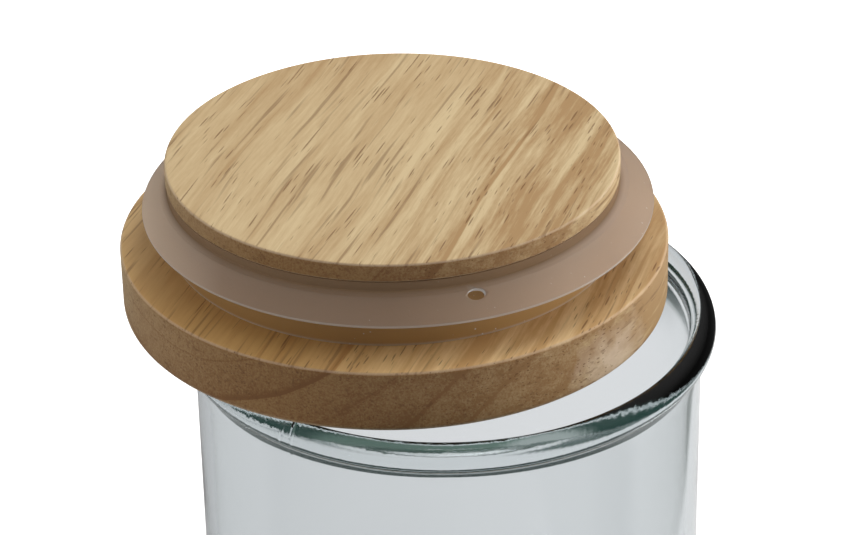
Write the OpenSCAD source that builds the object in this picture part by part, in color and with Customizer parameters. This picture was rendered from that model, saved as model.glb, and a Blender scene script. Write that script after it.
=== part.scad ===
// Glass storage jar with a turned wooden lid and a silicone seal ring.
// The lid lies upside down on the jar's rim, a little to the left and to the back of the jar's axis.
// The origin is the centre of the jar's foot, and +Z points up along the jar's axis.

/* [Glass jar] */
// Height of the jar from the surface it stands on to the top of the rim
jar_h = 150; // [90:5:240]
// Diameter of the mouth, which is also the bore of the whole jar
mouth_d = 95.5; // [80:0.5:120]
// Thickness of the glass wall
glass_wall = 2.5; // [1.8:0.1:4]
// Thickness of the glass floor, down to the plane the jar stands on
floor_t = 5; // [3:0.5:8]
// How far the thick rim stands out beyond the wall
rim_overhang = 2.75; // [1.5:0.25:4]
// Height of the straight band between the rim's rounded top and rounded underside
rim_straight = 1.75; // [0.5:0.25:4]
// Radius of the hollow curve that leads from the rim's underside into the wall
rim_fillet_r = 1.5; // [0.5:0.25:3]
// Radius of the jar's rounded heel, outside
heel_r = 7; // [4:0.5:12]
// Radius of the rounded corner between the floor and the wall, inside
inner_heel_r = 5; // [2:0.5:8]
// Width of the flat ring that the jar stands on
foot_w = 6; // [3:0.5:10]
// Height of the shallow hollow under the floor
kick_h = 1.5; // [0.5:0.25:2.5]

/* [Wooden lid] */
// Thickness of the lid's disc
lid_t = 12.9; // [8:0.1:20]
// How far the disc reaches beyond the jar's rim when the lid is centred
lid_overhang = 1.1; // [0:0.1:4]
// Radius of the disc's edge on the face that is the lid's top in use
lid_edge_r = 1.5; // [0.5:0.25:4]
// Radius of the eased edge on the face that closes on the rim
lid_arris_r = 0.6; // [0.2:0.1:1.5]
// Height of the plug above the face that closes on the rim
plug_h = 17.4; // [14:0.2:26]
// Gap all round between the plug and the mouth
plug_gap = 3.3; // [2:0.1:5]
// Thickness of the flange at the plug's free end, which keeps the seal on the plug
flange_t = 3.7; // [2:0.1:5]
// Radius of the flange's eased edges
flange_arris_r = 0.5; // [0.2:0.1:0.9]

/* [Seal ring] */
// Thickness of the seal's collar and of its flared skirt
seal_t = 1.1; // [0.8:0.1:1.4]
// How far the seal's collar stays back from the flange's side
collar_inset = 0.25; // [0:0.05:0.5]
// How far the skirt's lip stands out beyond the mouth's wall, which it is squeezed by in use
lip_squeeze = 2.45; // [1:0.05:3.5]
// Height of the lip's lowest point above the face that closes on the rim
lip_rise = 7.1; // [5:0.1:7.5]
// Drop from the flange's underside to the middle of the skirt's root
root_drop = 2.3; // [1.2:0.1:3]
// How far the skirt's bend stands out beyond the flange's side
bend_out = 1.2; // [0.6:0.1:1.8]
// Drop from the middle of the skirt's root to the middle of its bend
bend_drop = 0.5; // [0:0.1:1]
// Length of the vent slot in the skirt, measured round the ring
vent_len = 3.05; // [2:0.05:6]
// Width of the vent slot, measured down the skirt
vent_w = 1.75; // [1:0.05:1.8]
// Distance from the skirt's bend down to the middle of the vent slot
vent_drop = 0.9; // [0.8:0.1:2]
// Direction of the vent slot round the lid, counted from +X
vent_angle = -71; // [-180:1:180]

/* [Resting lid] */
// How far the lid's centre lies to the left of the jar's axis
lid_left = 10.3; // [0:0.1:20]
// How far the lid's centre lies behind the jar's axis
lid_back = 7.5; // [0:0.1:20]

/* [Hidden] */
// Running gap under the resting lid
rest_gap = 0.15;
// Gap between the seal's collar and the neck, and between the collar and the flange
seal_gap = 0.1;
$fn = 96;

mouth_r = mouth_d / 2;
body_r = mouth_r + glass_wall;
rim_w = glass_wall + rim_overhang;
rim_round_r = rim_w / 2;
rim_mid_r = mouth_r + rim_round_r;
rim_top_z = jar_h - rim_round_r;
rim_low_z = rim_top_z - rim_straight;
// The hollow curve under the rim touches both the wall and the rim's rounded underside
fillet_r_at = body_r + rim_fillet_r;
fillet_drop = sqrt(pow(rim_round_r + rim_fillet_r, 2) - pow(fillet_r_at - rim_mid_r, 2));
fillet_z = rim_low_z - fillet_drop;
// The hollow under the floor is a shallow part of a large sphere
kick_r = body_r - heel_r - foot_w;
kick_sphere_r = (pow(kick_r, 2) + pow(kick_h, 2)) / (2 * kick_h);

lid_r = mouth_r + rim_w + lid_overhang;
plug_r = mouth_r - plug_gap;
collar_r = plug_r - collar_inset;
neck_r = collar_r - seal_t - seal_gap;
neck_h = plug_h - flange_t;
// Heights in the lid's own frame, from the face that lies on the rim
neck_top_z = lid_t + neck_h;

skirt_root = [collar_r - seal_t / 2, neck_top_z - root_drop];
skirt_bend = [plug_r + bend_out, skirt_root.y - bend_drop];
skirt_lip = [mouth_r + lip_squeeze - seal_t / 2, lid_t + lip_rise + seal_t / 2];
skirt_angle = atan2(skirt_lip.y - skirt_bend.y, skirt_lip.x - skirt_bend.x);

// Half section of a round block with its two outer edges rounded
module rounded_block(radius, height, low_round, high_round) {
    translate([0, low_round]) square([radius, height - low_round - high_round]);
    square([radius - low_round, height / 2]);
    translate([radius - low_round, low_round]) circle(low_round);
    translate([0, height / 2]) square([radius - high_round, height / 2]);
    translate([radius - high_round, height - high_round]) circle(high_round);
}

// Strip of even thickness from one point of the half section to another, with a round end there
module strip(from, to, thickness) {
    translate(from)
        rotate(atan2(to.y - from.y, to.x - from.x))
            translate([0, -thickness / 2])
                square([norm(to - from), thickness]);
    translate(to) circle(d = thickness);
}

// Half section of the thick rim: round top, straight band, round underside and hollow curve
module rim_section() {
    translate([rim_mid_r, rim_top_z]) circle(rim_round_r);
    translate([mouth_r, rim_low_z]) square([rim_w, rim_straight]);
    translate([rim_mid_r, rim_low_z]) circle(rim_round_r);
    difference() {
        polygon([
            [mouth_r, fillet_z],
            [fillet_r_at, fillet_z],
            [rim_mid_r, rim_low_z],
            [mouth_r, rim_low_z]
        ]);
        translate([fillet_r_at, fillet_z]) circle(rim_fillet_r);
    }
}

// Half section of the jar's wall and floor, with the rounded heel
module wall_section() {
    difference() {
        union() {
            square([body_r - heel_r, heel_r]);
            translate([body_r - heel_r, heel_r]) circle(heel_r);
            translate([0, heel_r]) square([body_r, rim_low_z - heel_r]);
        }
        translate([0, floor_t + inner_heel_r]) square([mouth_r, jar_h]);
        translate([0, floor_t]) square([mouth_r - inner_heel_r, jar_h]);
        translate([mouth_r - inner_heel_r, floor_t + inner_heel_r]) circle(inner_heel_r);
        translate([0, kick_h - kick_sphere_r]) circle(kick_sphere_r);
    }
}

// Half section of the lid: disc, neck and flange
module lid_section() {
    rounded_block(lid_r, lid_t, lid_edge_r, lid_arris_r);
    square([neck_r, neck_top_z + flange_t / 2]);
    translate([0, neck_top_z]) rounded_block(plug_r, flange_t, flange_arris_r, flange_arris_r);
}

// Half section of the seal: a collar round the neck and a skirt that flares out and down to its lip
module seal_section() {
    translate([neck_r + seal_gap, lid_t])
        square([seal_t, neck_h - seal_gap]);
    strip(skirt_root, skirt_bend, seal_t);
    strip(skirt_bend, skirt_lip, seal_t);
}

// Cutter for the vent slot, square to the skirt
module vent_cut() {
    rotate([0, 0, vent_angle])
        translate([skirt_bend.x, 0, skirt_bend.y])
            rotate([0, -skirt_angle, 0])
                translate([vent_drop, 0, -seal_t]) {
                    translate([-vent_w / 2, -(vent_len - vent_w) / 2, 0])
                        cube([vent_w, vent_len - vent_w, 2 * seal_t]);
                    for (side = [-1, 1])
                        translate([0, side * (vent_len - vent_w) / 2, 0])
                            cylinder(h = 2 * seal_t, d = vent_w);
                }
}

// Moves a piece from the lid's own frame to where the lid rests on the rim
module on_rim() {
    translate([-lid_left, lid_back, jar_h + rest_gap]) children();
}

// Moulded glass jar
module glass_jar() {
    color([0.76, 0.84, 0.82, 0.5])
        rotate_extrude() {
            wall_section();
            rim_section();
        }
}

// Lid turned from one piece of wood
module wooden_lid() {
    color([0.78, 0.66, 0.46])
        on_rim()
            rotate_extrude() lid_section();
}

// Moulded silicone seal ring
module seal_ring() {
    color([0.72, 0.68, 0.66])
        on_rim()
            difference() {
                rotate_extrude() seal_section();
                vent_cut();
            }
}

glass_jar();
wooden_lid();
seal_ring();
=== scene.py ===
"""Glass storage jar with a turned wooden plug lid and a silicone seal ring.

The lid lies upside down on the jar's rim, a little to the left and to the back.
Sizes are in metres, so one in millimetres is written times MM. Only the patterns of the wood and the
silicone are laid out in millimetres from the lid's centre.
"""
import math

import bpy
from bpy.props import FloatProperty, FloatVectorProperty, IntProperty, PointerProperty
from mathutils import Matrix, Vector


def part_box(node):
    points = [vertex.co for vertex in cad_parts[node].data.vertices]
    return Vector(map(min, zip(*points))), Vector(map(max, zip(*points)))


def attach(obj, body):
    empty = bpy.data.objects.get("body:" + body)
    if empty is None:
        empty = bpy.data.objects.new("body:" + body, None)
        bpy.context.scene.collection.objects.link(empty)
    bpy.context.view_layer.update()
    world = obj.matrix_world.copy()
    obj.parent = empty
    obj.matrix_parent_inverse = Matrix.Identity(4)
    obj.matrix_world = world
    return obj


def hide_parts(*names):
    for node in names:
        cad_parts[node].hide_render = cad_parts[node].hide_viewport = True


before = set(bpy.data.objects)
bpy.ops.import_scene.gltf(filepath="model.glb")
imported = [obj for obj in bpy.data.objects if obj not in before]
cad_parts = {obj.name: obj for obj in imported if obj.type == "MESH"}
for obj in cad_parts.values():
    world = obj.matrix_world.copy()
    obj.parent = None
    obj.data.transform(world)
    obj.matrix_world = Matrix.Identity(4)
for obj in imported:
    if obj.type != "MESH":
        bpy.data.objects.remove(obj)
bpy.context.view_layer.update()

bl_info = {
    "name": "Storage jar",
    "version": (1, 0, 0),
    "blender": (4, 5, 0),
    "location": "3D View > Sidebar > Storage jar",
    "description": "Builds a glass storage jar with a turned wooden lid and a silicone seal ring",
    "category": "Object",
}

MM = 0.001
WHITE = (1, 1, 1)

# The lid's own frame starts at the centre of the face that lies on the rim
LID_LOW, LID_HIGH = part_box("wooden_lid")
LID_CENTRE = Vector(((LID_LOW.x + LID_HIGH.x) / 2, (LID_LOW.y + LID_HIGH.y) / 2, LID_LOW.z))
# The grain runs away from the viewer, turned a little to the right
GRAIN_TURN = math.radians(-19)

# The kinds of node that are used most
MATH = "ShaderNodeMath"
VECTOR_MATH = "ShaderNodeVectorMath"
MAP_RANGE = "ShaderNodeMapRange"
SEPARATE = "ShaderNodeSeparateXYZ"
MAPPING = "ShaderNodeMapping"
NOISE = "ShaderNodeTexNoise"


def srgb(code):
    """Linear colour of an sRGB hex code."""
    parts = [int(code[at:at + 2], 16) / 255 for at in (1, 3, 5)]
    return [part / 12.92 if part <= 0.04045 else ((part + 0.055) / 1.055) ** 2.4 for part in parts]


def length(name, description, millimetres):
    """Size that a user may change, given in millimetres."""
    return FloatProperty(name=name, description=description, default=millimetres * MM,
                         min=0, precision=5, unit="LENGTH")


def tint(name, description, code):
    """Colour that a user may change, given as an sRGB hex code."""
    return FloatVectorProperty(name=name, description=description, default=srgb(code),
                               min=0, max=1, size=3, subtype="COLOR")


def fullness(name, description, value):
    """Roundness that a user may change: 2 is an ellipse, less is leaner and more is fuller."""
    return FloatProperty(name=name, description=description, default=value, min=1.5, max=4)


class JarSizes(bpy.types.PropertyGroup):
    """Sizes of the glass body."""
    height: length("Height", "From the surface it stands on to the top of the rim", 150)
    bore: length("Bore radius", "Radius of the mouth and of the inner wall", 47.75)
    wall: length("Wall", "Thickness of the wall", 2.5)
    floor: length("Floor", "Thickness of the floor, down to the plane the jar stands on", 5)
    rim_overhang: length("Rim overhang", "How far the rim stands out beyond the wall", 2.75)
    rim_inner: length("Rim inner part", "From the bore out to the rim's highest place", 2.24)
    rim_top: length("Rim top", "From the rim's widest place up to its top", 3.36)
    rim_under: length("Rim underside", "From the rim's widest place down to the bead's underside", 2.56)
    rim_hollow: length("Rim hollow", "Height of the hollow curve under the rim", 2.75)
    fullness_in: fullness("Fullness inside", "Roundness from the rim's top to the bore", 1.7)
    fullness_out: fullness("Fullness outside", "Roundness from the rim's top to its widest place", 1.83)
    fullness_under: fullness("Fullness underneath", "Roundness of the rim's underside", 2.3)
    heel: length("Heel", "Radius of the rounded heel, outside", 7)
    inner_heel: length("Inner heel", "Radius of the corner between floor and wall", 5)
    foot: length("Foot", "Width of the flat ring that the jar stands on", 6)
    kick: length("Kick", "Height of the hollow under the floor", 1.5)
    waves: length("Waves", "Depth of the slow waves that moulding leaves in the glass", 0.05)
    wave_size: length("Wave size", "Distance from one wave to the next", 26)
    segments: IntProperty(name="Segments", description="Steps round the jar", default=288, min=24)


class LidSizes(bpy.types.PropertyGroup):
    """Sizes of the wooden lid."""
    radius: length("Radius", "Radius of the disc", 54.08)
    disc: length("Disc", "Thickness of the disc", 12.9)
    edge: length("Edge", "Radius of the disc's edge on the face that lies on the rim", 1.5)
    arris: length("Arris", "Radius of the disc's eased edge on the plug's side", 0.6)
    neck: length("Neck radius", "Radius of the neck inside the seal", 43)
    neck_height: length("Neck height", "From the disc's face to the flange", 13.7)
    plug: length("Plug radius", "Radius of the flange", 44.45)
    flange: length("Flange", "Thickness of the flange", 3.7)
    flange_arris: length("Flange arris", "Radius of the flange's eased edges", 0.5)
    segments: IntProperty(name="Segments", description="Steps round the lid", default=288, min=24)


class SealSizes(bpy.types.PropertyGroup):
    """Sizes of the silicone seal ring."""
    inside: length("Inside", "Inner radius of the collar", 43.1)
    foot: length("Foot", "Height of the disc's face, on which the collar stands", 12.9)
    thick: length("Thickness", "Thickness of the collar and of the skirt's root", 1.1)
    lip_thick: length("Lip thickness", "Thickness of the skirt at its lip", 0.75)
    top: length("Top", "Height of the collar's top above the face that lies on the rim", 26.5)
    root: length("Root height", "Height of the middle of the skirt's root", 24.3)
    bend: length("Bend radius", "Radius to the middle of the skirt's bend", 45.65)
    bend_height: length("Bend height", "Height of the middle of the skirt's bend", 23.8)
    lip: length("Lip radius", "Radius to the middle of the lip", 49.8)
    lip_height: length("Lip height", "Height of the middle of the lip", 20.4)
    lean: length("Lean", "How far the lip is pushed to one side", 0.9)
    vent_length: length("Vent length", "Length of the vent slot round the ring", 3.5)
    vent_width: length("Vent width", "Width of the vent slot", 2.3)
    vent_drop: length("Vent drop", "From the bend down to the middle of the vent slot", 0.85)
    vent_angle: FloatProperty(name="Vent direction", description="Direction of the vent slot round the lid",
                              default=math.radians(-70.8), subtype="ANGLE")
    segments: IntProperty(name="Segments", description="Steps round the seal", default=288, min=24)


class Finishes(bpy.types.PropertyGroup):
    """Colours of the materials."""
    glass: tint("Glass", "Colour that a thick piece of the glass lets through", "#A0BEC3")
    glass_depth: FloatProperty(name="Glass density", description="How strongly the glass takes up light",
                               default=45, min=0)
    wood_pale: tint("Pale wood", "Wood just outside a growth line", "#D7BF94")
    wood_tan: tint("Tan wood", "Wood just inside a growth line", "#B18E62")
    # Also the colour of the painted highlight on the eased edges and of the painted sheen on the side
    wood_rubbed_and_sheen: tint("Rubbed wood", "Wood burnished pale at edges and on the side", "#DCC6AE")
    wood_pore: tint("Pores", "Inside of the wood's pores", "#6E4A28")
    silicone: tint("Silicone", "Frosted silicone of the skirt", "#BA9E84")
    collar: tint("Collar", "Silicone of the collar, with the wood showing through", "#C9A069")
    # Painted shade: the collar in the flange's shade is given this darker colour
    collar_painted_shade: tint("Collar top", "Silicone of the collar above the skirt", "#9A7B5C")
    # Painted light that makes the sides of the skirt paler
    painted_side_light: tint("Bloom", "Pale bloom on the sides of the skirt", "#F6E2CC")
    # Also the colour of the painted highlight on the lip and the collar's foot
    dust: tint("Dust", "Dust and bloom on the silicone", "#F4EFE8")
    paper: tint("Floor", "Pale studio floor", "#E4E4E4")
    patch: tint("Floor in glass", "Floor as the glass shows it", "#E4E5E7")
    cards: tint("Dark cards", "Cards beside and behind the jar, as the glass shows them", "#2A4640")
    front_card: tint("Front card", "Card in front of the jar, as the glass shows it", "#657C73")


def add(tree, kind, sockets=(), **settings):
    """Adds one node with its settings, and links or fills its sockets by name or in their order.

    The order of a Map Range is its value, where that starts and ends, and what these two become.
    The setting called stops gives a colour ramp its places and their greys.
    """
    node = tree.nodes.new(kind)
    for name, value in settings.items():
        if name == "stops":
            ramp = node.color_ramp
            while len(ramp.elements) < len(value):
                ramp.elements.new(1)
            for element, (place, grey) in zip(ramp.elements, value):
                element.position = place
                element.color = (grey, grey, grey, 1)
        else:
            setattr(node, name, value)
    if not isinstance(sockets, dict):
        sockets = dict(enumerate(sockets))
    shown = [one for one in node.inputs if one.enabled]
    for key, value in sockets.items():
        socket = shown[key] if isinstance(key, int) else next(one for one in shown if one.name == key)
        if isinstance(value, bpy.types.Node):
            value = next(one for one in value.outputs if one.enabled)
        if isinstance(value, bpy.types.NodeSocket):
            tree.links.new(value, socket)
        elif socket.type == "RGBA" and len(value) == 3:
            socket.default_value = (*value, 1)
        else:
            socket.default_value = value
    return node


def output(node, name):
    """Enabled output of a node by its name."""
    return next(one for one in node.outputs if one.name == name and one.enabled)


def new_material(name):
    """Empty material, and its node tree."""
    material = bpy.data.materials.new(name)
    material.use_nodes = True
    material.node_tree.nodes.clear()
    return material, material.node_tree


def new_object(name, data):
    """Object with this data, linked into the scene."""
    made = bpy.data.objects.new(name, data)
    bpy.context.scene.collection.objects.link(made)
    return made


# Half sections, as lists of radius and height


def bead(centre, wide, tall, full, start, end, steps):
    """Points round part of a bead between two directions in degrees, an ellipse when full is 2."""
    points = []
    for step in range(steps + 1):
        turn = math.radians(start + (end - start) * step / steps)
        across, up = math.cos(turn), math.sin(turn)
        points.append((centre[0] + wide * math.copysign(abs(across) ** (2 / full), across),
                       centre[1] + tall * math.copysign(abs(up) ** (2 / full), up)))
    return points


def arc(centre, radius, start, end, steps):
    """Points on an arc between two directions in degrees."""
    return bead(centre, radius, radius, 2, start, end, steps)


def curve(start, first, last, end, steps):
    """Points on a smooth curve that leaves for the first handle and comes in from the last."""
    points = []
    for step in range(steps + 1):
        share = step / steps
        rest = 1 - share
        weights = (rest ** 3, 3 * rest ** 2 * share, 3 * rest * share ** 2, share ** 3)
        parts = list(zip(weights, (start, first, last, end)))
        points.append(tuple(sum(weight * point[axis] for weight, point in parts) for axis in (0, 1)))
    return points


def run(start, end, steps):
    """Points on a straight line, without its two ends."""
    shares = [step / steps for step in range(1, steps)]
    return [(start[0] + (end[0] - start[0]) * share, start[1] + (end[1] - start[1]) * share)
            for share in shares]


def jar_section(size):
    """Half section of the glass: under the floor, up the outside, over the rim and down the bore.

    The last number of each part of a half section is its count of steps.
    """
    outside = size.bore + size.wall
    foot_out = outside - size.heel
    kick_out = foot_out - size.foot
    kick_ball = (kick_out ** 2 + size.kick ** 2) / (2 * size.kick)
    kick_turn = math.degrees(math.asin(kick_out / kick_ball))
    rim = (size.bore + size.rim_inner, size.height - size.rim_top)
    rim_outer = size.wall + size.rim_overhang - size.rim_inner
    corner = (size.bore - size.inner_heel, size.floor + size.inner_heel)

    points = arc((0, size.kick - kick_ball), kick_ball, 90, 90 - kick_turn, 12)
    # A point close to the hollow's edge keeps that edge crisp
    points += [(kick_out + 0.4 * MM, 0)]
    points += run((kick_out, 0), (foot_out, 0), 3)
    points += arc((foot_out, size.heel), size.heel, -90, 0, 14)
    # The round underside begins 71 degrees below level, where the hollow curve runs into it
    under = bead(rim, rim_outer, size.rim_under, size.fullness_under, -71, 0, 26)
    over = bead(rim, rim_outer, size.rim_top, size.fullness_out, 0, 90, 36)[:-1]
    over += bead(rim, size.rim_inner, size.rim_top, size.fullness_in, 90, 180, 36)
    (join_r, join_z), (next_r, next_z) = under[:2]
    hollow = curve((outside, join_z - size.rim_hollow), (outside, join_z - 0.35 * size.rim_hollow),
                   (2 * join_r - next_r, 2 * join_z - next_z), (join_r, join_z), 10)
    points += run((outside, size.heel), hollow[0], 44)
    points += hollow[:-1] + under[:-1] + over
    points += run((size.bore, rim[1]), (size.bore, corner[1]), 46)
    points += arc(corner, size.inner_heel, 0, -90, 12)
    points += run((corner[0], size.floor), (0, size.floor), 8)
    return points + [(0, size.floor)]


def lid_section(size):
    """Half section of the lid: disc, neck and flange."""
    # Points this close to a corner keep the faces beside it flat
    near = 0.25 * MM
    neck_top = size.disc + size.neck_height
    end = neck_top + size.flange
    edge_in = size.radius - size.edge
    arris_in = size.radius - size.arris
    arris_low = size.disc - size.arris
    flange_in = size.plug - size.flange_arris
    flange_low = neck_top + size.flange_arris
    flange_high = end - size.flange_arris

    points = [(0, 0)]
    points += run((0, 0), (edge_in, 0), 6)
    points += [(edge_in - near, 0)]
    points += arc((edge_in, size.edge), size.edge, -90, 0, 10)
    points += [(size.radius, size.edge + near)]
    points += run((size.radius, size.edge), (size.radius, arris_low), 6)
    points += [(size.radius, arris_low - near)]
    points += arc((arris_in, arris_low), size.arris, 0, 90, 8)
    points += [(arris_in - near, size.disc), (size.neck + near, size.disc)]
    points += [(size.neck, size.disc), (size.neck, size.disc + near), (size.neck, neck_top - near)]
    points += [(size.neck, neck_top), (size.neck + near, neck_top)]
    points += arc((flange_in, flange_low), size.flange_arris, -90, 0, 8)
    points += [(size.plug, flange_low + near), (size.plug, flange_high - near)]
    points += arc((flange_in, flange_high), size.flange_arris, 0, 90, 8)
    points += [(flange_in - near, end)]
    points += run((flange_in, end), (0, end), 6)
    return points + [(0, end)]


def seal_section(size):
    """Half section of the seal, round and closed: collar, skirt and lip."""
    half = size.thick / 2
    lip_half = size.lip_thick / 2
    # Radius of the collar's corners
    ease = 0.15 * MM
    foot = size.foot
    outer = size.inside + size.thick
    middle = size.inside + half
    root = Vector((middle, size.root))
    bend = Vector((size.bend, size.bend_height))
    lip = Vector((size.lip, size.lip_height))
    first = (bend - root).normalized()
    second = (lip - bend).normalized()
    slope = first.y / first.x
    tall = half / first.x
    start_z = root.y + slope * (outer - middle)
    first_turn = math.degrees(math.atan2(first.y, first.x))
    second_turn = math.degrees(math.atan2(second.y, second.x))
    mitre = (Vector((-first.y, first.x)) + Vector((-second.y, second.x))).normalized()
    mitre_long = half / mitre.dot(Vector((-first.y, first.x)))
    under = bend - mitre * mitre_long
    lip_side = Vector((second.y, -second.x)) * lip_half
    over = arc(bend, half, 90 + second_turn, 90 + first_turn, 5)

    points = arc((size.inside + ease, foot + ease), ease, 180, 270, 3)
    points += arc((outer - ease, foot + ease), ease, -90, 0, 3)
    points += run((outer, foot), (outer, start_z - tall), 5)
    points += arc((outer + ease, start_z - tall - ease), ease, 180, 90 + first_turn, 3)
    points += [tuple(under)]
    points += run(under, lip + lip_side, 6)
    points += arc(lip, lip_half, second_turn - 90, second_turn + 90, 10)
    points += run(lip - lip_side, over[0], 6)
    points += over
    points += arc((outer + ease, start_z + tall + ease), ease, -90 + first_turn, -180, 3)
    points += arc((outer - ease, size.top - ease), ease, 0, 90, 3)
    points += arc((size.inside + ease, size.top - ease), ease, 90, 180, 3)
    points += run((size.inside, size.top), (size.inside, foot), 5)
    return points + [points[0]]


# Turning a half section into a mesh with Geometry Nodes


def lathe_tree():
    """Geometry Nodes tree that turns a half section round an axis along Z."""
    tree = bpy.data.node_groups.new("Lathe", "GeometryNodeTree")
    ports = (
        ("Section", "NodeSocketGeometry", None),
        ("Segments", "NodeSocketInt", 288),
        ("Centre", "NodeSocketVector", (0, 0, 0)),
        ("Lean", "NodeSocketVector", (0, 0, 0)),
        ("Lean start", "NodeSocketFloat", 0),
        ("Lean end", "NodeSocketFloat", 1),
        ("Waves", "NodeSocketFloat", 0),
        ("Wave size", "NodeSocketFloat", 1),
        ("Seed", "NodeSocketFloat", 0),
        ("Material", "NodeSocketMaterial", None),
    )
    for name, kind, default in ports:
        socket = tree.interface.new_socket(name, in_out="INPUT", socket_type=kind)
        if default is not None:
            socket.default_value = default
    tree.interface.new_socket("Mesh", in_out="OUTPUT", socket_type="NodeSocketGeometry")

    given = add(tree, "NodeGroupInput").outputs
    count = add(tree, "GeometryNodeAttributeDomainSize", (given["Section"],), component="MESH")
    rows = output(count, "Point Count")
    columns = add(tree, "FunctionNodeIntegerMath", (given["Segments"], 1), operation="ADD")
    grid = add(tree, "GeometryNodeMeshGrid", {"Vertices X": columns, "Vertices Y": rows})
    index = add(tree, "GeometryNodeInputIndex")
    row = add(tree, "FunctionNodeIntegerMath", (index, rows), operation="MODULO")
    column = add(tree, "FunctionNodeIntegerMath", (index, rows), operation="DIVIDE")
    # The last column is the first one again, so that the seam closes exactly
    closed = add(tree, "FunctionNodeIntegerMath", (column, given["Segments"]), operation="MODULO")
    share = add(tree, MATH, (closed, given["Segments"]), operation="DIVIDE")
    angle = add(tree, MATH, (share, math.tau), operation="MULTIPLY")
    position = add(tree, "GeometryNodeInputPosition")
    point = add(tree, "GeometryNodeSampleIndex",
                {"Geometry": given["Section"], "Value": position, "Index": row},
                data_type="FLOAT_VECTOR", domain="POINT")
    spun = add(tree, "ShaderNodeVectorRotate", {"Vector": point, "Angle": angle}, rotation_type="Z_AXIS")

    radius = output(add(tree, SEPARATE, (point,)), "X")
    weight = add(tree, MAP_RANGE, (radius, given["Lean start"], given["Lean end"]))
    push = add(tree, VECTOR_MATH, (given["Lean"], weight), operation="SCALE")
    leant = add(tree, VECTOR_MATH, (spun, push), operation="ADD")
    placed = add(tree, VECTOR_MATH, (leant, given["Centre"]), operation="ADD")
    turned = add(tree, "GeometryNodeSetPosition", {"Geometry": grid, "Position": placed})
    merged = add(tree, "GeometryNodeMergeByDistance", {"Geometry": turned, "Distance": 0.002 * MM})

    scale = add(tree, MATH, (1, given["Wave size"]), operation="DIVIDE")
    noise = add(tree, NOISE,
                {"Vector": position, "W": given["Seed"], "Scale": scale, "Detail": 1}, noise_dimensions="4D")
    # The waves only take away, so that the piece stays inside its sizes
    sunk = add(tree, MATH, (noise, 1), operation="SUBTRACT")
    depth = add(tree, MATH, (sunk, given["Waves"]), operation="MULTIPLY")
    normal = add(tree, "GeometryNodeInputNormal")
    wave = add(tree, VECTOR_MATH, (normal, depth), operation="SCALE")
    waved = add(tree, "GeometryNodeSetPosition", {"Geometry": merged, "Offset": wave})

    smooth = add(tree, "GeometryNodeSetShadeSmooth", (waved,))
    whole = add(tree, "GeometryNodeRealizeInstances", (smooth,))
    finished = add(tree, "GeometryNodeSetMaterial", {"Geometry": whole, "Material": given["Material"]})
    add(tree, "NodeGroupOutput", (finished,))
    return tree


def plain_mesh(source, name):
    """Plain mesh object from what an object's modifiers give, in place of that object."""
    evaluated = source.evaluated_get(bpy.context.evaluated_depsgraph_get())
    mesh = bpy.data.meshes.new_from_object(evaluated)
    if not mesh.polygons:
        raise RuntimeError(name + " came out empty")
    piece = new_object(name, mesh)
    bpy.data.objects.remove(source)
    mesh.name = name
    return piece


def turn_piece(name, section, **values):
    """Piece turned on the lathe tree from a half section."""
    mesh = bpy.data.meshes.new(name + "_section")
    points = [(radius, 0, height) for radius, height in section]
    mesh.from_pydata(points, [(at, at + 1) for at in range(len(points) - 1)], [])
    blank = new_object(name + "_blank", mesh)
    tree = bpy.data.node_groups.get("Lathe") or lathe_tree()
    modifier = blank.modifiers.new("Lathe", "NODES")
    modifier.node_group = tree
    for item in tree.interface.items_tree:
        if item.in_out == "INPUT" and item.name in values:
            modifier[item.identifier] = values[item.name]
    return plain_mesh(blank, name)


def hand_over(piece, body, node):
    """Puts a finished piece on its body, in place of its solid."""
    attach(piece, body)
    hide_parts(node)


# Materials


def layered(tree, colour, *coats):
    """Colour with coats laid over it in turn, each as its share, its colour and how it blends."""
    for share, coat, blend in coats:
        colour = add(tree, "ShaderNodeMix", (share, colour, coat), data_type="RGBA", blend_type=blend)
    return colour


def spots(tree, place, gap, widest, soft, swell=0.0, **settings):
    """Round spots of many widths in two thirds of the cells of a pattern, with soft edges."""
    cells = add(tree, "ShaderNodeTexVoronoi", {"Vector": place, "Scale": 1 / gap}, **settings)
    lot = output(add(tree, "ShaderNodeSeparateColor", (output(cells, "Color"),)), "Red")
    width = add(tree, MAP_RANGE, (lot, 0.3, 1, 0, widest))
    width = add(tree, MATH, (width, swell), operation="ADD")
    past = add(tree, MATH, (output(cells, "Distance"), width), operation="SUBTRACT")
    return add(tree, MAP_RANGE, (past, -soft, soft, 1, 0))


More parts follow.
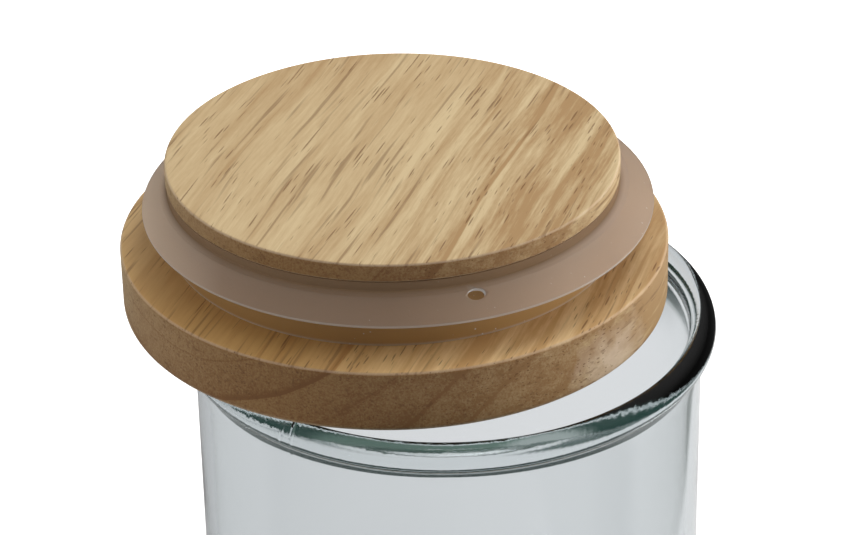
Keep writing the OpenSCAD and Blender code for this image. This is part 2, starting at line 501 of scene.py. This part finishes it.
def glass_material(finish):
    """Soda-lime glass, moulded and fire-polished.

    Clear through one wall and blue-green where the eye looks along it, with an uneven, glinting rim.
    """
    material, tree = new_material("Soda-lime glass moulded")
    place = output(add(tree, "ShaderNodeTexCoord"), "Object")
    height = output(add(tree, SEPARATE, (place,)), "Z")
    # Fire-polishing leaves the rim with orange peel, here 0.9 mm wide where the real one is finer
    at_rim = add(tree, MAP_RANGE, (height, 141 * MM, 146 * MM))
    peel = add(tree, NOISE, {"Vector": place, "Scale": 1 / (0.9 * MM), "Detail": 3})
    # The two halves of the mould leave a fine seam across the rim
    seam_turn = (0, 0, math.radians(126.6))
    halves = add(tree, MAPPING, {"Vector": place, "Rotation": seam_turn})
    off = output(add(tree, SEPARATE, (halves,)), "Y")
    off = add(tree, MATH, (off,), operation="ABSOLUTE")
    seam = add(tree, MAP_RANGE, (off, 0.5 * MM, 0.1 * MM, 0, 3))
    raised = add(tree, MATH, (peel, seam), operation="ADD")
    raised = add(tree, MATH, (raised, at_rim), operation="MULTIPLY")
    bump = add(tree, "ShaderNodeBump", {"Height": raised, "Strength": 1, "Distance": 0.02 * MM})
    surface = add(tree, "ShaderNodeBsdfPrincipled", {
        "Base Color": WHITE,
        "Roughness": 0,
        "IOR": 1.5,
        "Transmission Weight": 1,
        "Normal": bump,
    })
    depth = add(tree, "ShaderNodeVolumeAbsorption", {"Color": finish.glass, "Density": finish.glass_depth})
    add(tree, "ShaderNodeOutputMaterial", {"Surface": surface, "Volume": depth})
    return material


def fibre_noise(tree, fibre, wide, long, **more):
    """Noise drawn out along the grain, so many millimetres wide and long."""
    drawn = add(tree, MAPPING, {"Vector": fibre, "Scale": (1 / wide, 1 / long, 1 / wide)})
    return add(tree, NOISE, {"Vector": drawn, "Scale": 1, **more})


def growth_lines(tree, fibre):
    """Growth rings of the wood about a pith to the left and above."""
    pith = (-30, 0, 61)
    first_ring = 52.9
    ring_gap = 8.3
    off = add(tree, VECTOR_MATH, (fibre, pith), operation="SUBTRACT")
    off = add(tree, VECTOR_MATH, (off, (1, 0, 1)), operation="MULTIPLY")
    off = add(tree, VECTOR_MATH, (off,), operation="LENGTH")
    ring = add(tree, MATH, (off, first_ring), operation="SUBTRACT")
    turns = add(tree, MATH, (ring, ring_gap), operation="DIVIDE")
    part = add(tree, MATH, (turns,), operation="FRACT")
    band = add(tree, "ShaderNodeValToRGB", (part,),
               stops=[(0, 0.3), (0.06, 0.02), (0.45, 0.06), (0.78, 0.15),
                      (0.9, 0.32), (0.94, 0.85), (0.97, 0.8), (1, 0.3)])
    # No two lines are alike: the one some 23 mm right of the middle is the strongest
    which = add(tree, MAP_RANGE, (turns, -1, 5))
    heavy = add(tree, "ShaderNodeValToRGB", (which,),
                stops=[(0, 0), (1 / 6, 0.45), (2 / 6, 0.3), (3 / 6, 0.65), (4 / 6, 0.75), (5 / 6, 0.8)])
    heavy.color_ramp.interpolation = "CONSTANT"
    strongest = add(tree, MATH, (turns, 0.5, 0.5), operation="COMPARE")
    strongest = add(tree, MATH, (strongest, 1.3), operation="MULTIPLY")
    heavy = add(tree, MATH, (heavy, strongest), operation="MAXIMUM")
    return add(tree, MATH, (band, heavy), operation="MULTIPLY")


def wood_material(finish):
    """Rubberwood, turned, sanded and left bare.

    Matt and tan, with soft growth bands, short dark pores along the grain and dots across it.
    """
    material, tree = new_material("Rubberwood turned and sanded")
    coords = add(tree, "ShaderNodeTexCoord")
    normal = output(coords, "Normal")
    upward = output(add(tree, SEPARATE, (normal,)), "Z")
    # Millimetres from the lid's centre: across the grain, along it, and up
    grain = add(tree, MAPPING, {
        "Vector": output(coords, "Object"),
        "Location": LID_CENTRE,
        "Rotation": (0, 0, GRAIN_TURN),
        "Scale": (MM, MM, MM),
    }, vector_type="TEXTURE")

    # The fibres wander by a millimetre or two over some 60 mm
    wander = output(fibre_noise(tree, grain, 24, 60, Detail=1.5), "Color")
    wander = add(tree, VECTOR_MATH, (wander, (0.5, 0.5, 0.5)), operation="SUBTRACT")
    wander = add(tree, VECTOR_MATH, (wander, 4.5), operation="SCALE")
    fibre = add(tree, VECTOR_MATH, (grain, wander), operation="ADD")
    right, ahead, up = add(tree, SEPARATE, (fibre,)).outputs

    # How far the surface cuts across the fibres
    along = (-math.sin(GRAIN_TURN), math.cos(GRAIN_TURN), 0)
    facing = add(tree, VECTOR_MATH, (normal, along), operation="DOT_PRODUCT")
    facing = add(tree, MATH, (facing,), operation="ABSOLUTE")
    end = add(tree, MAP_RANGE, (facing, 0.1, 1))
    # Growth lines stand out most where they are cut across
    clearer = add(tree, MAP_RANGE, (end, 0, 1, 1, 1.6))
    band = add(tree, MATH, (growth_lines(tree, fibre), clearer), operation="MULTIPLY")

    # The flat face round the plug
    level = output(add(tree, SEPARATE, (grain,)), "Z")
    lower = add(tree, MAP_RANGE, (level, 27, 26))
    lower = add(tree, MATH, (lower, upward), operation="MULTIPLY", use_clamp=True)

    # Soft streaks some 6 and 2 mm wide and fibres down to 0.3 mm, all drawn out along the grain
    streaks = 0.0
    sizes = ((6.5, 70, 0.48), (2.2, 40, 0.38), (0.8, 22, 0.26), (0.3, 10, 0.12), (0.5, 3.5, 0.16))
    for wide, long, strength in sizes:
        streak = fibre_noise(tree, fibre, wide, long, Detail=2, Roughness=0.6)
        part = add(tree, MAP_RANGE, (streak, 0.3, 0.7, -strength / 2, strength / 2))
        streaks = add(tree, MATH, (streaks, part), operation="ADD")
    # They are calmer where the fibres are cut across and on the flat face
    for share, least in ((end, 0.45), (lower, 0.6)):
        calm = add(tree, MAP_RANGE, (share, 0, 1, 1, least))
        streaks = add(tree, MATH, (streaks, calm), operation="MULTIPLY")
    # They are stronger to the right, where the wood is cut nearer the bark
    vivid = add(tree, MAP_RANGE, (right, 0, 30, 1, 2.1))
    tone = add(tree, MATH, (streaks, vivid, band), operation="MULTIPLY_ADD")
    # The wood is darker to the right and to the back
    for place, start, stop, darker in ((right, 4, 34, 0.36), (ahead, 0, 40, 0.16)):
        part = add(tree, MAP_RANGE, (place, start, stop, 0, darker))
        tone = add(tree, MATH, (tone, part), operation="ADD")
    # Cut across, the fibres and small pores make a fine grit
    grit = add(tree, NOISE, {"Vector": grain, "Scale": 1 / 0.45, "Detail": 3, "Roughness": 0.7})
    grit = add(tree, MAP_RANGE, (grit, 0.25, 0.75, -0.75, 0.75))
    tone = add(tree, MATH, (grit, end, tone), operation="MULTIPLY_ADD")
    tone = add(tree, MATH, (tone, 0.33), operation="ADD", use_clamp=True)

    # Pores are tubes of about 0.25 mm along the fibres, 0.8 mm apart, and only some of them are open.
    # They rise less at the left, where they are cut into long lines, than at the right.
    slope = add(tree, MAP_RANGE, (right, -35, 35, 0.03, 0.09))
    climb = add(tree, MATH, (ahead, slope, up), operation="MULTIPLY_ADD")
    across = add(tree, "ShaderNodeCombineXYZ", (right, climb))
    # They come in groups
    group = fibre_noise(tree, fibre, 5, 16, Detail=1)
    swell = add(tree, MAP_RANGE, (group, 0.35, 0.65, -0.12, 0.07))
    pore = spots(tree, across, 0.8, 0.19, 0.05, swell, voronoi_dimensions="2D")
    open_part = add(tree, MATH, (pore, 0.62), operation="MULTIPLY")
    # Tubes that lie in the cut face show as hair lines, here 0.2 mm wide where the real ones are finer
    hair = fibre_noise(tree, fibre, 0.9, 34, Detail=1, Roughness=0.4)
    line = add(tree, MAP_RANGE, (hair, 0.62, 0.72, 0, 0.45))
    open_part = add(tree, MATH, (open_part, line), operation="MAXIMUM")

    # The face round the plug gets painted light and shade, most at the front: warmer and darker at the left
    # and middle, where the plug shades it, and paler and brighter to the right, where the light comes from
    near = add(tree, MAP_RANGE, (ahead, 0, -45, 0.25, 1))
    painted_face_mask = add(tree, MATH, (lower, near), operation="MULTIPLY")
    painted_light_rightward = add(tree, MAP_RANGE, (right, -5, 42))
    # The tan multiplier is painted warm shade, the pale one, above one, is painted light
    tan, pale = (1, 0.8, 0.52), (1.55, 1.53, 1.45)
    painted_face_tint = add(tree, "ShaderNodeMix", (painted_light_rightward, tan, pale), data_type="RGBA")
    # The side has a pale patch to the right, partly burnished wood and partly a painted sheen
    patchy = add(tree, NOISE, {"Vector": grain, "Scale": 1 / 3.5, "Detail": 3})
    off = add(tree, VECTOR_MATH, (grain, (50.5, -19, 4)), operation="SUBTRACT")
    off = add(tree, VECTOR_MATH, (off, (1, 1, 1.6)), operation="MULTIPLY")
    off = add(tree, VECTOR_MATH, (off,), operation="LENGTH")
    ragged = add(tree, MATH, (patchy, 14, off), operation="MULTIPLY_ADD")
    burnished_and_sheen = add(tree, MAP_RANGE, (ragged, 20, 9, 0, 0.66))
    # Every eased edge, which faces neither up nor sideways, gets a painted highlight in the pale rubbed
    # colour
    tip = add(tree, MATH, (upward, upward), operation="MULTIPLY")
    side = add(tree, MATH, (1, tip), operation="SUBTRACT")
    eased = add(tree, MATH, (tip, side), operation="MULTIPLY")
    eased = add(tree, MAP_RANGE, (eased, 0.05, 0.2, 0, 0.3))
    # The painted edge highlight and the partly painted pale patch together
    rubbed_and_painted_sheen = add(tree, MATH, (burnished_and_sheen, eased), operation="MAXIMUM")
    # End grain drinks in light, so it looks darker and redder
    end_grain = (0.475, 0.345, 0.222)
    colour = layered(tree, finish.wood_pale,
                     (tone, finish.wood_tan, "MIX"),
                     (end, end_grain, "MULTIPLY"),
                     # Painted light and shade on the face round the plug
                     (painted_face_mask, painted_face_tint, "MULTIPLY"),
                     # Painted highlight on the edges and painted sheen on the side
                     (rubbed_and_painted_sheen, finish.wood_rubbed_and_sheen, "MIX"),
                     (open_part, finish.wood_pore, "MIX"))

    # The shortest streaks stand up a little, and the pores are sunk
    relief = add(tree, MATH, (streak, 0.3), operation="MULTIPLY")
    height = add(tree, MATH, (relief, pore), operation="SUBTRACT")
    bump = add(tree, "ShaderNodeBump", {"Height": height, "Strength": 0.5, "Distance": 0.1 * MM})
    surface = add(tree, "ShaderNodeBsdfPrincipled", {
        "Base Color": colour,
        "Roughness": 0.58,
        "IOR": 1.45,
        "Normal": bump,
    })
    add(tree, "ShaderNodeOutputMaterial", {"Surface": surface})
    return material


def silicone_material(finish):
    """Silicone, moulded in a blasted mould.

    Frosted and half see-through, so the wood tints it, with a dull sheen and fine dust at its lip.
    """
    material, tree = new_material("Silicone moulded frosted")
    coords = add(tree, "ShaderNodeTexCoord")
    place = output(coords, "Object")
    upward = output(add(tree, SEPARATE, (output(coords, "Normal"),)), "Z")
    # Millimetres from the lid's centre
    centred = add(tree, MAPPING, {
        "Vector": place,
        "Location": LID_CENTRE,
        "Scale": (MM, MM, MM),
    }, vector_type="TEXTURE")
    side, _, level = add(tree, SEPARATE, (centred,)).outputs
    flat = add(tree, VECTOR_MATH, (centred, (1, 1, 0)), operation="MULTIPLY")
    reach = add(tree, VECTOR_MATH, (flat,), operation="LENGTH")
    frost = add(tree, NOISE, {"Vector": place, "Scale": 1 / (0.6 * MM), "Detail": 2})
    bump = add(tree, "ShaderNodeBump", {"Height": frost, "Strength": 0.5, "Distance": 0.05 * MM})

    # The collar is drawn tight on the wood, whose brown shows through it more than through the free skirt
    free = add(tree, MAP_RANGE, (reach, 44.3, 45.4))
    # Above the skirt the collar lies in the flange's shade, which is painted in as a darker colour
    above = add(tree, MAP_RANGE, (level, 23, 24))
    # Painted light makes the skirt paler at the left, and less so at the right
    sideways = add(tree, MAP_RANGE, (side, -48, 48))
    painted_side_light = add(tree, "ShaderNodeValToRGB", (sideways,),
                stops=[(0, 1), (0.08, 0.6), (0.17, 0.1), (0.5, 0), (0.85, 0.33), (0.93, 0.25), (1, 0.35)])
    painted_side_light = add(tree, MATH, (painted_side_light, free), operation="MULTIPLY")
    # A painted highlight in the dust colour lies on the round end of the thin lip and on the collar's foot,
    # and less on the vent slot's walls
    lip = add(tree, MAP_RANGE, (upward, 0.68, 0.45))
    outer = add(tree, MAP_RANGE, (reach, 47.8, 48.5, 0.3))
    for share in (free, outer):
        lip = add(tree, MATH, (lip, share), operation="MULTIPLY")
    foot = add(tree, MAP_RANGE, (level, 13.5, 13))
    bright = add(tree, MATH, (lip, foot), operation="MAXIMUM")
    bright = add(tree, MATH, (bright, 0.55), operation="MULTIPLY")
    # Dust gathers on the lower half of the skirt and on the collar's foot, most to the right
    dust = spots(tree, place, 1.3 * MM, 0.15, 0.03)
    gather = add(tree, MAP_RANGE, (level, 23, 21.5, 0.1, 0.9))
    sided = add(tree, MAP_RANGE, (side, -25, 5, 0.15))
    for share in (gather, sided):
        dust = add(tree, MATH, (dust, share), operation="MULTIPLY")
    colour = layered(tree, finish.collar,
                     # Painted shade under the flange
                     (above, finish.collar_painted_shade, "MIX"),
                     (free, finish.silicone, "MIX"),
                     # Painted light on the skirt's sides
                     (painted_side_light, finish.painted_side_light, "MIX"),
                     # Painted highlight on the lip and the collar's foot
                     (bright, finish.dust, "MIX"),
                     (dust, finish.dust, "MIX"))
    clear = add(tree, MAP_RANGE, (free, 0, 1, 0.25, 0.55))
    surface = add(tree, "ShaderNodeBsdfPrincipled", {
        "Base Color": colour,
        "Roughness": 0.35,
        "IOR": 1.41,
        "Transmission Weight": clear,
        "Normal": bump,
    })
    add(tree, "ShaderNodeOutputMaterial", {"Surface": surface})
    return material


def soft_patch(tree, *edges):
    """How far a place lies inside the soft edges of a patch, each given as the sockets of a Map Range."""
    inside = None
    for edge in edges:
        share = add(tree, MAP_RANGE, edge, interpolation_type="SMOOTHSTEP")
        if inside is not None:
            share = add(tree, MATH, (inside, share), operation="MULTIPLY")
        inside = share
    return inside


def paper_material(finish):
    """Studio paper, matt.

    It takes the jar's shadow, and the eye sees it as white from a little way off. For the glass it also
    stands for the dark cards and the horizon round the jar, which draw the bands in the rim.
    """
    material, tree = new_material("Studio paper matt")
    place = output(add(tree, "ShaderNodeTexCoord"), "Object")
    across, ahead, _ = add(tree, SEPARATE, (place,)).outputs
    away = add(tree, VECTOR_MATH, (place,), operation="LENGTH")
    aside = add(tree, MATH, (across,), operation="ABSOLUTE")
    path = add(tree, "ShaderNodeLightPath")
    glow = add(tree, MAP_RANGE, (away, 0.1, 0.45, 0.4, 1))
    glow = add(tree, MATH, (glow, output(path, "Is Camera Ray")), operation="MULTIPLY")
    light = add(tree, "ShaderNodeEmission", (WHITE, glow))
    matt = add(tree, "ShaderNodeBsdfDiffuse", {"Color": finish.paper})
    lit = add(tree, "ShaderNodeAddShader", (matt, light))

    # Through the walls the floor is plain and light. Rays that the rim bends far down or nearly level
    # meet dark cards instead. A card that stands off the floor goes by how steeply the ray comes down.
    level = output(add(tree, "ShaderNodeLayerWeight", {"Blend": 0.5}), "Facing")
    steep = add(tree, MATH, (1, level), operation="SUBTRACT")
    # The low card reaches farther away from the jar at both ends
    near = ahead
    for start, stop, farther in ((-0.08, -0.28, 0.14), (0.02, 0.09, 0.09)):
        part = add(tree, MAP_RANGE, (across, start, stop, 0, farther))
        near = add(tree, MATH, (near, part), operation="SUBTRACT")
    low_card = soft_patch(tree, (near, 0.08, 0.04), (steep, 0.64, 0.68), (steep, 0.99, 0.983))
    beyond = soft_patch(tree, (across, -0.185, -0.205), (ahead, -0.03, 0))
    cut_off = add(tree, MATH, (1, beyond), operation="SUBTRACT")
    # Under the jar only the steepest rays meet it
    outside = add(tree, MAP_RANGE, (away, 0.066, 0.08), interpolation_type="SMOOTHSTEP")
    steepest = add(tree, MAP_RANGE, (steep, 0.87, 0.9), interpolation_type="SMOOTHSTEP")
    kept = add(tree, MATH, (outside, steepest), operation="MAXIMUM")
    for share in (cut_off, kept):
        low_card = add(tree, MATH, (low_card, share), operation="MULTIPLY")
    # The card behind hides what leaves the jar's far wall high up and not too steeply
    far_wall = 0.045
    gap = add(tree, MATH, (ahead, far_wall), operation="SUBTRACT")
    slope = add(tree, MATH, (steep,), operation="ARCSINE")
    slope = add(tree, MATH, (slope,), operation="TANGENT")
    height = add(tree, MATH, (gap, slope), operation="MULTIPLY")
    leaning = add(tree, MATH, (steep, 0.1, height), operation="MULTIPLY_ADD")
    # Out to 57 mm at either side it hides steeper and steeper rays
    slant = add(tree, MATH, (aside, 0.057), operation="MINIMUM")
    slant = add(tree, MATH, (slant, -1.5, steep), operation="MULTIPLY_ADD")
    back_card = soft_patch(tree, (leaning, 0.126, 0.141), (slant, 0.43, 0.4), (aside, 0.2, 0.14))
    # It is half as dark for rays some 15 degrees from level, so that the jar looks clear from lower down
    lower = soft_patch(tree, (steep, 0.3, 0.28), (steep, 0.2, 0.22, 0, 0.45))
    thinned = add(tree, MATH, (1, lower), operation="SUBTRACT")
    back_card = add(tree, MATH, (back_card, thinned), operation="MULTIPLY")
    side_card = soft_patch(tree, (across, 0.15, 0.165), (across, 0.3, 0.25), (ahead, 0.28, 0.25),
                           (steep, 0.46, 0.48))
    # Nearly level rays meet a dark horizon all round
    horizon = add(tree, MAP_RANGE, (steep, 0.2, 0.16), interpolation_type="SMOOTHSTEP")
    dark = low_card
    for card in (back_card, side_card, horizon):
        dark = add(tree, MATH, (dark, card), operation="MAXIMUM")
    # The card in front is paler, and its corner at the right catches the light
    bowed = add(tree, MATH, (aside, 0.45, ahead), operation="MULTIPLY_ADD")
    front = add(tree, MAP_RANGE, (bowed, 0.02, -0.04), interpolation_type="SMOOTHSTEP")
    lit_corner = soft_patch(tree, (bowed, 0.02, -0.04), (across, 0.05, 0.09, 0, 0.4))
    unlit = add(tree, MATH, (1, lit_corner), operation="SUBTRACT")
    dark = add(tree, MATH, (dark, unlit), operation="MULTIPLY")
    cards = add(tree, "ShaderNodeMix", (front, finish.cards, finish.front_card), data_type="RGBA")
    shade = add(tree, "ShaderNodeMix", (dark, finish.patch, cards), data_type="RGBA")
    # Seen through the glass the floor glows with painted light, brighter to the right, and with painted
    # shade where the card behind and the horizon hide it
    hidden = add(tree, MATH, (back_card, horizon), operation="MAXIMUM")
    strength = soft_patch(tree, (across, -0.09, 0.09, 0.86, 1), (hidden, 0.6, 1, 1, 0.5))
    through = add(tree, "ShaderNodeEmission", (shade, strength))
    # Mirrored in the glass the floor glows with painted light: white to the right, grey to the left and dim
    # in front
    bright = soft_patch(tree, (across, -0.08, 0.08, 0.4, 0.9), (ahead, -0.06, -0.01, 0.15, 1),
                        (away, 0.38, 0.28, 0.05, 1))
    mirror = add(tree, "ShaderNodeEmission", (WHITE, bright))
    surface = add(tree, "ShaderNodeMixShader", (output(path, "Is Glossy Ray"), lit, mirror))
    # A ray that passed the glass sharply counts as glossy too, so this comes last
    surface = add(tree, "ShaderNodeMixShader", (output(path, "Is Transmission Ray"), surface, through))
    add(tree, "ShaderNodeOutputMaterial", {"Surface": surface})
    return material


# Operators


class BuildJar(bpy.types.Operator):
    """Turns the glass body of the jar"""
    bl_idname = "storage_jar.glass_body"
    bl_label = "Glass body"

    def execute(self, context):
        settings = context.scene.storage_jar
        size = settings.jar
        piece = turn_piece("jar_body", jar_section(size), Segments=size.segments, Waves=size.waves,
                           Seed=3.0, Material=glass_material(settings.finishes),
                           **{"Wave size": size.wave_size})
        hand_over(piece, "jar", "glass_jar")
        return {"FINISHED"}


class BuildLid(bpy.types.Operator):
    """Turns the wooden lid"""
    bl_idname = "storage_jar.wooden_lid"
    bl_label = "Wooden lid"

    def execute(self, context):
        settings = context.scene.storage_jar
        size = settings.lid
        piece = turn_piece("lid_plug", lid_section(size), Segments=size.segments, Centre=LID_CENTRE,
                           Material=wood_material(settings.finishes))
        hand_over(piece, "lid", "wooden_lid")
        return {"FINISHED"}


class BuildSeal(bpy.types.Operator):
    """Moulds the silicone seal ring and cuts its vent slot"""
    bl_idname = "storage_jar.seal_ring"
    bl_label = "Seal ring"

    def execute(self, context):
        settings = context.scene.storage_jar
        size = settings.seal
        values = {
            "Segments": size.segments,
            "Centre": LID_CENTRE,
            "Lean": (size.lean, 0, 0),
            "Lean start": size.inside + size.thick,
            "Lean end": size.lip,
            "Material": silicone_material(settings.finishes),
        }
        ring = turn_piece("seal_ring_uncut", seal_section(size), **values)
        cutter = vent_cutter(size)
        cut = ring.modifiers.new("Vent", "BOOLEAN")
        cut.operation = "DIFFERENCE"
        cut.solver = "EXACT"
        cut.object = cutter
        piece = plain_mesh(ring, "seal_lip")
        bpy.data.objects.remove(cutter)
        hand_over(piece, "lid", "seal_ring")
        return {"FINISHED"}


def vent_cutter(size):
    """Oval block that stands square to the skirt where the vent slot is."""
    bend = Vector((size.bend, 0, size.bend_height))
    lip = Vector((size.lip, 0, size.lip_height))
    down = (lip - bend).normalized()
    around = Vector((0, 1, 0))
    out = down.cross(around)
    middle = bend + down * size.vent_drop
    half = size.vent_width / 2
    long_half = size.vent_length / 2
    deep = 1.5 * size.thick
    steps = 16
    outline = []
    for side in (1, -1):
        for step in range(steps + 1):
            turn = math.pi * step / steps
            outline.append((side * half * math.cos(turn), side * long_half * math.sin(turn)))
    turned = Matrix.Rotation(size.vent_angle, 4, "Z")
    # The lean pushes the skirt here by part of what it pushes the lip
    weight = (size.bend + down.x * size.vent_drop - size.inside - size.thick)
    weight /= size.lip - size.inside - size.thick
    place = Matrix.Translation(LID_CENTRE + Vector((size.lean * weight, 0, 0)))
    points = []
    for depth in (-deep, deep):
        for drop, along in outline:
            points.append(place @ turned @ (middle + down * drop + around * along + out * depth))
    count = len(outline)
    faces = [tuple(range(count))[::-1], tuple(range(count, 2 * count))]
    faces += [(at, (at + 1) % count, count + (at + 1) % count, count + at) for at in range(count)]
    mesh = bpy.data.meshes.new("vent_cutter")
    mesh.from_pydata(points, [], faces)
    return new_object("vent_cutter", mesh)


class BuildStage(bpy.types.Operator):
    """Lays the floor, hangs the lights and places the camera"""
    bl_idname = "storage_jar.stage"
    bl_label = "Stage"

    def execute(self, context):
        lay_floor(context.scene.storage_jar.finishes)
        hang_lights()
        light_world()
        place_camera()
        context.scene.view_settings.view_transform = "Standard"
        return {"FINISHED"}


def lay_floor(finish):
    """Pale floor under the jar."""
    reach = 6
    mesh = bpy.data.meshes.new("studio_floor")
    mesh.from_pydata([(-reach, -reach, 0), (reach, -reach, 0), (reach, reach, 0), (-reach, reach, 0)],
                     [], [(0, 1, 2, 3)])
    mesh.materials.append(paper_material(finish))
    floor = new_object("studio_floor", mesh)


def hang_lights():
    """Soft key light above, behind and to the right, with panels at the right and the left."""
    aim = Vector((0, 0, 150 * MM))
    panels = (
        ("key_light", (0.40, 0.62, 0.98), 0.8, 6.5),
        ("right_panel", (1.1, 0.05, 0.35), 0.6, 8),
        ("left_panel", (-1.1, -0.05, 0.5), 0.7, 3),
    )
    for name, place, wide, power in panels:
        lamp = bpy.data.lights.new(name, "AREA")
        lamp.shape = "RECTANGLE"
        lamp.size = wide
        lamp.size_y = wide
        lamp.energy = power
        light = new_object(name, lamp)
        light.location = place
        light.rotation_euler = (aim - Vector(place)).to_track_quat("-Z", "Y").to_euler()
        light.visible_camera = False
        light.visible_glossy = False


def light_world():
    """White for the eye, and for the rest a dim light that is stronger from overhead.

    The glass sees it dark at the horizon and lighter higher up, with a soft window.
    """
    world = bpy.data.worlds.new("studio")
    world.use_nodes = True
    tree = world.node_tree
    tree.nodes.clear()
    look = output(add(tree, "ShaderNodeTexCoord"), "Generated")
    up = output(add(tree, SEPARATE, (look,)), "Z")
    sky = add(tree, MAP_RANGE, (up, 0.2, 0.9, 0.1, 0.7))
    high = add(tree, MAP_RANGE, (up, 0.15, 0.6, 0.04, 0.3))
    # The window is above the viewer's left shoulder
    toward = add(tree, VECTOR_MATH, (look, (-0.35, -0.72, 0.6)), operation="DOT_PRODUCT")
    window = add(tree, MAP_RANGE, (toward, 0.8, 0.95, 0, 0.4))
    mirrored = add(tree, MATH, (high, window), operation="ADD")
    path = add(tree, "ShaderNodeLightPath")
    rays = (output(path, "Is Glossy Ray"), output(path, "Is Transmission Ray"))
    by_glass = add(tree, MATH, rays, operation="MAXIMUM")
    other = add(tree, "ShaderNodeMix", (by_glass, sky, mirrored), data_type="FLOAT")
    strength = add(tree, "ShaderNodeMix", (output(path, "Is Camera Ray"), other, 1.0), data_type="FLOAT")
    light = add(tree, "ShaderNodeBackground", (WHITE, strength))
    add(tree, "ShaderNodeOutputWorld", {"Surface": light})
    bpy.context.scene.world = world


def place_camera():
    """Camera in front of the jar, looking 30 degrees down on the lid."""
    eye = Vector((0, -549.7, 472.5)) * MM
    aim = Vector((-3.81, 0, 158.75)) * MM
    roll = math.radians(-1.12)
    ahead = (aim - eye).normalized()
    level = ahead.cross(Vector((0, 0, 1))).normalized()
    upright = level.cross(ahead)
    right = level * math.cos(roll) + upright * math.sin(roll)
    above = upright * math.cos(roll) - level * math.sin(roll)
    lens = bpy.data.cameras.new("camera")
    lens.sensor_width = 36
    lens.lens = 135.84
    lens.clip_start = 0.01
    lens.clip_end = 30
    camera = new_object("camera", lens)
    turned = Matrix((right, above, -ahead)).transposed().to_4x4()
    camera.matrix_world = Matrix.Translation(eye) @ turned
    bpy.context.scene.camera = camera


class StorageJarSettings(bpy.types.PropertyGroup):
    """All sizes and colours of the storage jar."""
    jar: PointerProperty(type=JarSizes, name="Jar")
    lid: PointerProperty(type=LidSizes, name="Lid")
    seal: PointerProperty(type=SealSizes, name="Seal")
    finishes: PointerProperty(type=Finishes, name="Finishes")


class StorageJarPanel(bpy.types.Panel):
    """Sizes, colours and pieces of the storage jar"""
    bl_idname = "VIEW3D_PT_storage_jar"
    bl_label = "Storage jar"
    bl_space_type = "VIEW_3D"
    bl_region_type = "UI"
    bl_category = "Storage jar"

    def draw(self, context):
        settings = context.scene.storage_jar
        groups = (("jar", BuildJar), ("lid", BuildLid), ("seal", BuildSeal), ("finishes", BuildStage))
        for group, operator in groups:
            box = self.layout.box()
            values = getattr(settings, group)
            for name in values.__annotations__:
                box.prop(values, name)
            box.operator(operator.bl_idname)


CLASSES = (JarSizes, LidSizes, SealSizes, Finishes, StorageJarSettings,
           BuildStage, BuildJar, BuildLid, BuildSeal, StorageJarPanel)


def register():
    for one in CLASSES:
        bpy.utils.register_class(one)
    bpy.types.Scene.storage_jar = PointerProperty(type=StorageJarSettings)


def unregister():
    del bpy.types.Scene.storage_jar
    for one in reversed(CLASSES):
        bpy.utils.unregister_class(one)


def main():
    """Builds the stage and every piece."""
    register()
    bpy.ops.storage_jar.stage()
    bpy.ops.storage_jar.glass_body()
    bpy.ops.storage_jar.wooden_lid()
    bpy.ops.storage_jar.seal_ring()


if __name__ == "__main__":
    main()
